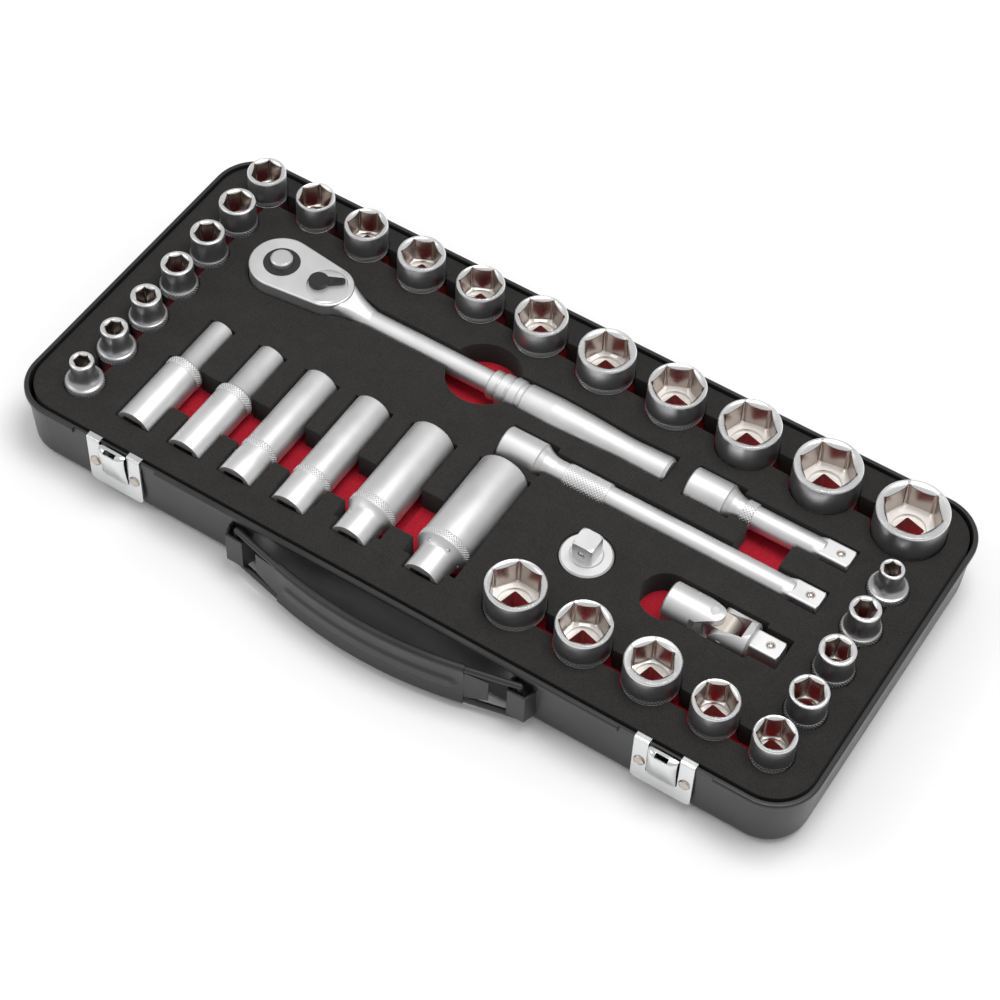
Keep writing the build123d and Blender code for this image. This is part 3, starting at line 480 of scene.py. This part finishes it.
def shoulder(node, length, shaft_r):
    """Shaft end that runs out into four ramps and the drive square, on a bar that lies along X."""
    middle, _, high_corner = middle_of(node)
    square = square_hole(9.5)
    steps = 12
    count = 120
    core_r = 2.0
    rings = [circle_ring(core_r, -length, count)]
    for i in range(steps + 1):
        t = i / steps
        blend = smooth_step(t)
        rings.append(shaped_ring(lambda a: shaft_r + 0.04 + (square(a) * 0.985 - shaft_r) * blend,
                                 lambda r: -length * (1 - t), count))
    rings.append(circle_ring(core_r, 0.0, count))
    bm = bmesh.new()
    skin(bm, rings, lambda band: 0, closed=True)
    place(bm, node + "_shoulder", along_x(high_corner.x - SQUARE_LENGTH, middle.y, middle.z),
          [MATERIALS["satin_chrome"]], node, sharp_deg=50)


def detent_ring(name, ball, body):
    """Staked ring round a detent ball on the top flat of a drive square."""
    middle, _, high_corner = middle_of(ball)
    flat_z = high_corner.z - 0.7
    section = ((1.45, -0.2), (1.5, 0.10), (1.75, 0.16), (2.0, 0.10), (2.1, -0.2))
    bm = bmesh.new()
    skin(bm, [circle_ring(r, z, 48) for r, z in section], lambda band: 0, closed=True)
    matrix = Matrix.Translation((middle.x, middle.y, flat_z))
    place(bm, name, matrix, [MATERIALS["rivet_steel"]], body)


KNOB_R = 4.35
LEVER_DEG = 33
RIB_HALF = 1.25


def lever_ribs():
    """Three raised grip ribs across the outer end of the reversing lever."""
    _, low_corner, high_corner = middle_of("ratchet_selector")
    knob = Vector((low_corner.x + KNOB_R, low_corner.y + KNOB_R, high_corner.z - 0.3))
    swing = Matrix.Rotation(math.radians(LEVER_DEG), 3, "Z")
    bm = bmesh.new()
    for reach in (7.4, 8.7, 10.0):
        ends = []
        for along, tall in ((-0.35, 0.0), (-0.15, 0.28), (0.15, 0.28), (0.35, 0.0)):
            ends.append([bm.verts.new(knob + swing @ Vector((reach + along, side, tall)))
                         for side in (-RIB_HALF, RIB_HALF)])
        for a, b in zip(ends, ends[1:] + ends[:1]):
            bm.faces.new((a[0], a[1], b[1], b[0]))
        bm.faces.new([row[0] for row in ends])
        bm.faces.new([row[1] for row in reversed(ends)])
    place(bm, "selector_ribs", Matrix.Identity(4), [MATERIALS["black_plastic"]], "ratchet_reverser")


for bar, band in (("extension_150mm", (30.2, 50.8)), ("extension_75mm", (25.2, 30.4))):
    bar_band(bar, *band)
    shoulder(bar, **SHOULDER)
    detent_ring(bar + "_ring", bar + "_ball", bar)
detent_ring("uj_ring", "uj_ball", "uj_drive_end")
lever_ribs()


# ================================================================ handle
WIRE_R = 1.4
GRIP_GAP = 0.05
ARC_R = 192.0
SHEET = 1.0
WAIST = 1.1
CURL_DEG = 285
CURL_STEPS = 13
RIB_HALF_X = 43.0
RIB_HALF_Z = 4.6
RIB_RAMP = 2.6


def spaced(first, last, steps):
    """Evenly spaced values from first to last."""
    return [first + (last - first) * i / steps for i in range(steps + 1)]


def grip_sheet():
    """Bowed sheet with curled edges, a long pressed rib and clipped ends, in place of the plain grip."""
    _, grip_low, _ = middle_of("handle_grip")
    _, wire_low, wire_high = middle_of("handle_wire")
    low_z = wire_low.z + WIRE_R
    high_z = wire_high.z - WIRE_R
    middle_z = (low_z + high_z) / 2
    centre_y = grip_low.y + WIRE_R + GRIP_GAP + SHEET + ARC_R
    curl = WIRE_R + GRIP_GAP + SHEET / 2

    def rib(x, z):
        """Outward pressing: 0 away from the long oval, 1 on its flat top."""
        past = max(0.0, abs(x - 1.0) - (RIB_HALF_X - RIB_HALF_Z))
        away = RIB_HALF_Z - math.hypot(past, z - middle_z + 0.6)
        return smooth_step(max(0.0, min(1.0, away / RIB_RAMP)))

    def curled(x):
        """(out, height) round the lower wire, over the waisted face and round the upper wire."""
        points = []
        for a in spaced(-CURL_DEG, 0, CURL_STEPS):
            points.append((curl * math.cos(math.radians(a)), low_z + curl * math.sin(math.radians(a))))
        for t in spaced(0.0, 1.0, 48)[1:-1]:
            z = low_z + (high_z - low_z) * t
            dip = WAIST * math.sin(math.pi * t) ** 0.6
            points.append((curl - dip + dip * rib(x, z), z))
        for a in spaced(0, CURL_DEG, CURL_STEPS):
            points.append((curl * math.cos(math.radians(a)), high_z + curl * math.sin(math.radians(a))))
        return points

    def plate(x):
        """(out, height) up a flat end, which narrows outwards."""
        past = max(0.0, (abs(x) - 46.0) / 11.0)
        bottom = low_z + 2.6 + 4.0 * past
        top = high_z - 1.6 - 0.8 * past
        return [(curl - WAIST * (1 - past), z) for z in spaced(bottom, top, 12)]

    def at(x, out, z):
        """Point on the bow, out from its arc."""
        turn = x / ARC_R
        radius = ARC_R + out
        return Vector((radius * math.sin(turn), centre_y - radius * math.cos(turn), z))

    bm = bmesh.new()
    for xs, section in ((spaced(-44.0, 46.0, 120), curled), (spaced(-56.4, -43.8, 8), plate),
                        (spaced(45.8, 56.4, 8), plate)):
        rows = [[bm.verts.new(at(x, out, z)) for out, z in section(x)] for x in xs]
        for a, b in zip(rows, rows[1:]):
            for k in range(len(a) - 1):
                face = bm.faces.new((a[k], a[k + 1], b[k + 1], b[k]))
                face.smooth = True
    bmesh.ops.recalc_face_normals(bm, faces=bm.faces)
    bmesh.ops.solidify(bm, geom=bm.faces[:], thickness=SHEET * 0.5)
    place(bm, "detail_handle_grip", Matrix.Identity(4), [MATERIALS["case_paint"]], "handle", "handle_grip",
          sharp_deg=50)


grip_sheet()


# ================================================================ latch keepers and strap backing
WINDOW_HALF = 7.0
WINDOW_Z = 13.0
KEEPER_CORNER = 2.4
KEEPER_SHEET = 1.1
TONGUE_HALF = 6.6
TONGUE = [(0.9, 12.4), (1.2, 13.4), (1.9, 15.4), (2.7, 18.0), (3.5, 21.0), (4.1, 24.0), (4.5, 27.0),
          (4.6, 29.4), (4.3, 30.9), (3.5, 31.8), (2.2, 32.1), (0.8, 32.1)]
TONGUE_COLUMNS = 14
TONGUE_SLOT_ROWS = (8, 9)


def prism(bm, near, far):
    """Close the solid between two matching outlines, given as lists of points."""
    near = [bm.verts.new(p) for p in near]
    far = [bm.verts.new(p) for p in far]
    bm.faces.new(near)
    bm.faces.new(far[::-1])
    for k in range(len(near)):
        n = (k + 1) % len(near)
        bm.faces.new((near[k], near[n], far[n], far[k]))


def keeper_outline(half, bottom, top):
    """(x, z) round a keeper plate: two round lower corners, and a window open at the top."""
    outline = []
    for side, first, last in ((1, -90, 0), (-1, 180, 270)):
        for a in spaced(first, last, 6):
            outline.append((side * (half - KEEPER_CORNER) + KEEPER_CORNER * math.cos(math.radians(a)),
                            bottom + KEEPER_CORNER + KEEPER_CORNER * math.sin(math.radians(a))))
        if side == 1:
            window = [(half, top), (WINDOW_HALF, top), (WINDOW_HALF, WINDOW_Z + 1.0),
                      (WINDOW_HALF - 1.0, WINDOW_Z)]
            outline += window + [(-x, z) for x, z in reversed(window)]
    return outline


def keeper_hook(outer_y, wall_y, top):
    """(y, z) round the section of an arm that hooks over the edge of the wall."""
    return [(outer_y, top - 1.2), (outer_y + 0.1, top - 0.5), (outer_y + 0.5, top - 0.1),
            (outer_y + 0.9, top), (wall_y + 1.6, top), (wall_y + 2.0, top - 0.2),
            (wall_y + 2.15, top - 0.7), (wall_y + 2.15, top - 1.4), (wall_y + 1.3, top - 1.4),
            (wall_y + 1.3, top - 0.8), (outer_y + 1.0, top - 0.8)]


def spring_tongue(bm, centre, root_y):
    """Bulged sheet with eased sides and a slot under its upper edge."""
    grid = []
    for out, z in TONGUE:
        row = []
        for u in spaced(-1.0, 1.0, TONGUE_COLUMNS):
            reach = out - (out - 0.6) * 0.55 * abs(u) ** 5
            row.append(bm.verts.new((centre + u * TONGUE_HALF, root_y - reach, z - 0.5 * abs(u) ** 4)))
        grid.append(row)
    sheet = []
    for level, (a, b) in enumerate(zip(grid, grid[1:])):
        for k in range(TONGUE_COLUMNS):
            if level in TONGUE_SLOT_ROWS and 3 < k < TONGUE_COLUMNS - 4:
                continue
            sheet.append(bm.faces.new((a[k], a[k + 1], b[k + 1], b[k])))
            sheet[-1].smooth = True
    bmesh.ops.recalc_face_normals(bm, faces=sheet)
    bmesh.ops.solidify(bm, geom=sheet, thickness=0.7)


def latch_keeper(name):
    """Keeper plate with two hooked arms and a bulged spring tongue between them."""
    middle, low_corner, high_corner = middle_of(name)
    half = (high_corner.x - low_corner.x) / 2
    wall_y = high_corner.y - 2.2
    outer_y = wall_y - KEEPER_SHEET
    bm = bmesh.new()
    outline = keeper_outline(half, low_corner.z, high_corner.z - 0.2)
    prism(bm, *([(middle.x + x, y, z) for x, z in outline] for y in (outer_y, wall_y - 0.1)))
    hook = keeper_hook(outer_y, wall_y, high_corner.z)
    for ends in ((-half, -WINDOW_HALF), (WINDOW_HALF, half)):
        prism(bm, *([(middle.x + x, y, z) for y, z in hook] for x in ends))
    spring_tongue(bm, middle.x, wall_y - 0.1)
    place(bm, "detail_" + name, Matrix.Identity(4), [MATERIALS["zinc_plate"]], "case", name,
          sharp_deg=45)


latch_keeper("latch_keeper_left")
latch_keeper("latch_keeper_right")

STRAP_X = 68.0
BACKING_HALF = 8
BACKING_Z = (3.6, 28.4)
BACKING_Y = (-83.4, -82.2)


def strap_backing(name, x):
    """Plate welded inside the front wall, closing the slot behind a handle strap."""
    low_z, high_z = BACKING_Z
    ring = [(x - BACKING_HALF, low_z), (x + BACKING_HALF, low_z), (x + BACKING_HALF, high_z),
            (x - BACKING_HALF, high_z)]
    bm = bmesh.new()
    prism(bm, *([(px, y, pz) for px, pz in ring] for y in BACKING_Y))
    bmesh.ops.bevel(bm, geom=bm.edges[:], offset=0.3, segments=2, affect="EDGES")
    place(bm, name, Matrix.Identity(4), [MATERIALS["case_paint"]], "case")


strap_backing("strap_backing_left", -STRAP_X)
strap_backing("strap_backing_right", STRAP_X)


# ================================================================ camera, light and floor
LENS_MM = 94.39
LENS_SHIFT = (-0.0136, 0.0006)
CAMERA_AT = (0.3402, -0.5766, 0.8869)
CAMERA_DEG = (37.0475, -1.9375, 32.3342)
SURROUND_STRENGTH = 0.62
FLOOR_HALF = 4.0
FLOOR_DROP = 0.0002


def camera():
    """Camera at the viewing angle of the reference, on a long lens."""
    data = bpy.data.cameras.new("camera")
    data.lens = LENS_MM
    data.sensor_width = 36.0
    data.shift_x, data.shift_y = LENS_SHIFT
    data.dof.use_dof = False
    obj = bpy.data.objects.new("camera", data)
    obj.location = CAMERA_AT
    obj.rotation_euler = [math.radians(a) for a in CAMERA_DEG]
    bpy.context.scene.collection.objects.link(obj)
    bpy.context.scene.camera = obj


def area_light(name, place_at, aim, size, power):
    """Soft square light aimed at a point."""
    data = bpy.data.lights.new(name, "AREA")
    data.shape = "SQUARE"
    data.size = size
    data.energy = power
    obj = bpy.data.objects.new(name, data)
    obj.location = place_at
    obj.rotation_euler = (Vector(aim) - Vector(place_at)).to_track_quat("-Z", "Y").to_euler()
    bpy.context.scene.collection.objects.link(obj)


def studio():
    """Pale floor, even surround and soft lights."""
    world = bpy.data.worlds.new("surround")
    bpy.context.scene.world = world
    world.use_nodes = True
    world.node_tree.nodes["Background"].inputs["Color"].default_value = (1.0, 1.0, 1.0, 1.0)
    world.node_tree.nodes["Background"].inputs["Strength"].default_value = SURROUND_STRENGTH
    area_light("key", (0.25, 0.15, 1.5), (0, 0, 0), 0.7, 12.0)
    area_light("fill", (-0.9, -0.5, 1.0), (0, 0, 0), 0.6, 2.0)
    bm = bmesh.new()
    bmesh.ops.create_grid(bm, x_segments=8, y_segments=8, size=FLOOR_HALF)
    mesh = bpy.data.meshes.new("floor")
    bm.to_mesh(mesh)
    bm.free()
    mat, tree, shader = new_material("floor_paper", (0.95, 0.95, 0.95), 0.8)
    tree.links.new(spread(tree, noise(tree, 40.0), 0.75, 0.85), shader.inputs["Roughness"])
    mesh.materials.append(mat)
    floor = bpy.data.objects.new("floor", mesh)
    floor.location = (0, 0, -FLOOR_DROP)
    bpy.context.scene.collection.objects.link(floor)


camera()
studio()
bpy.context.scene.view_settings.view_transform = "Standard"
